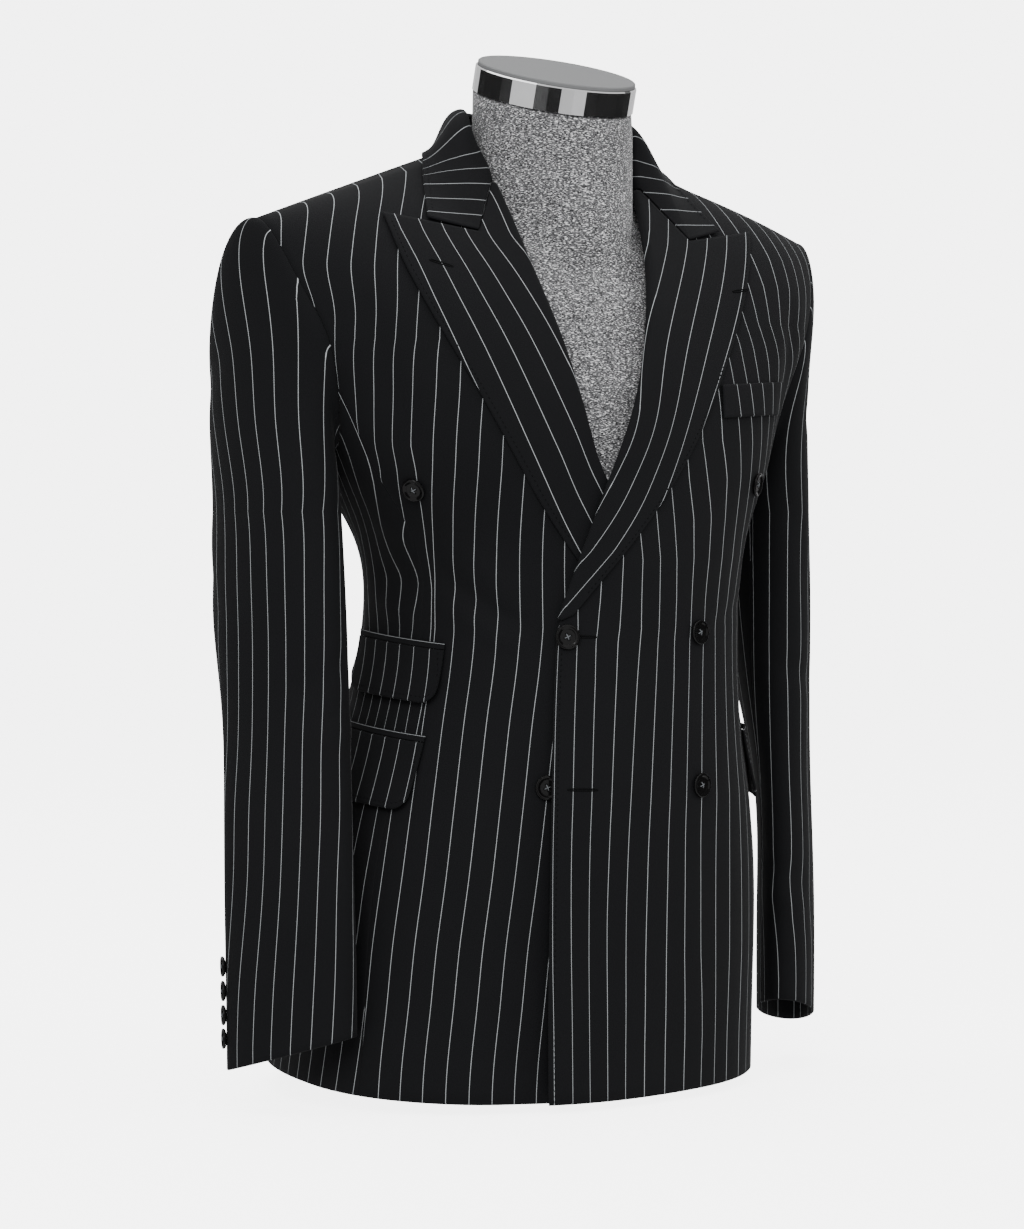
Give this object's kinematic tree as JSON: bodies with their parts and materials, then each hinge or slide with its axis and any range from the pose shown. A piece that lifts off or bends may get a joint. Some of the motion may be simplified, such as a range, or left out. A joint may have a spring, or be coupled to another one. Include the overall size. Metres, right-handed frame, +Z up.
{
  "type": "double-breasted suit jacket on a dress form",
  "caption": "Double-breasted pinstripe suit jacket with peak lapels and flap pockets, on a limbless dress form with a capped neck.",
  "frame": {"origin": "centre of the whole object's box in X and Y, on the underside of the foot plate", "axes": "+Z up, -Y out of the jacket's front, +X to the wearer's left"},
  "size_m": [0.5533, 0.3666, 0.8172],
  "materials": {
    "cloth": "black worsted wool with thin off-white pinstripes",
    "button_black": "polished black",
    "heather": "heathered grey jersey",
    "chrome_band": "polished",
    "grey_top": "matte",
    "foot_plate": "satin"
  },
  "bodies": {
    "root": {"back_left": "cloth", "back_right": "cloth", "button_bottom_left": "button_black", "button_bottom_right": "button_black", "button_middle_left": "button_black", "button_middle_right": "button_black", "button_top_left": "button_black", "button_top_right": "button_black", "chest_welt": "cloth", "collar_fall": "cloth", "collar_stand": "cloth", "cuff_button_left_1": "button_black", "cuff_button_left_2": "button_black", "cuff_button_left_3": "button_black", "cuff_button_left_4": "button_black", "cuff_button_right_1": "button_black", "cuff_button_right_2": "button_black", "cuff_button_right_3": "button_black", "cuff_button_right_4": "button_black", "form_band": "chrome_band", "form_base": "foot_plate", "form_cap": "grey_top", "form_torso": "heather", "front_left": "cloth", "front_right": "cloth", "hip_flap_left": "cloth", "hip_flap_right": "cloth", "hip_jet_left": "cloth", "hip_jet_right": "cloth", "lapel_left": "cloth", "lapel_right": "cloth", "side_panel_left": "cloth", "side_panel_right": "cloth", "ticket_flap_right": "cloth", "ticket_jet_right": "cloth", "under_sleeve_left": "cloth", "under_sleeve_right": "cloth", "upper_sleeve_left": "cloth", "upper_sleeve_right": "cloth"}
  },
  "joints": []
}
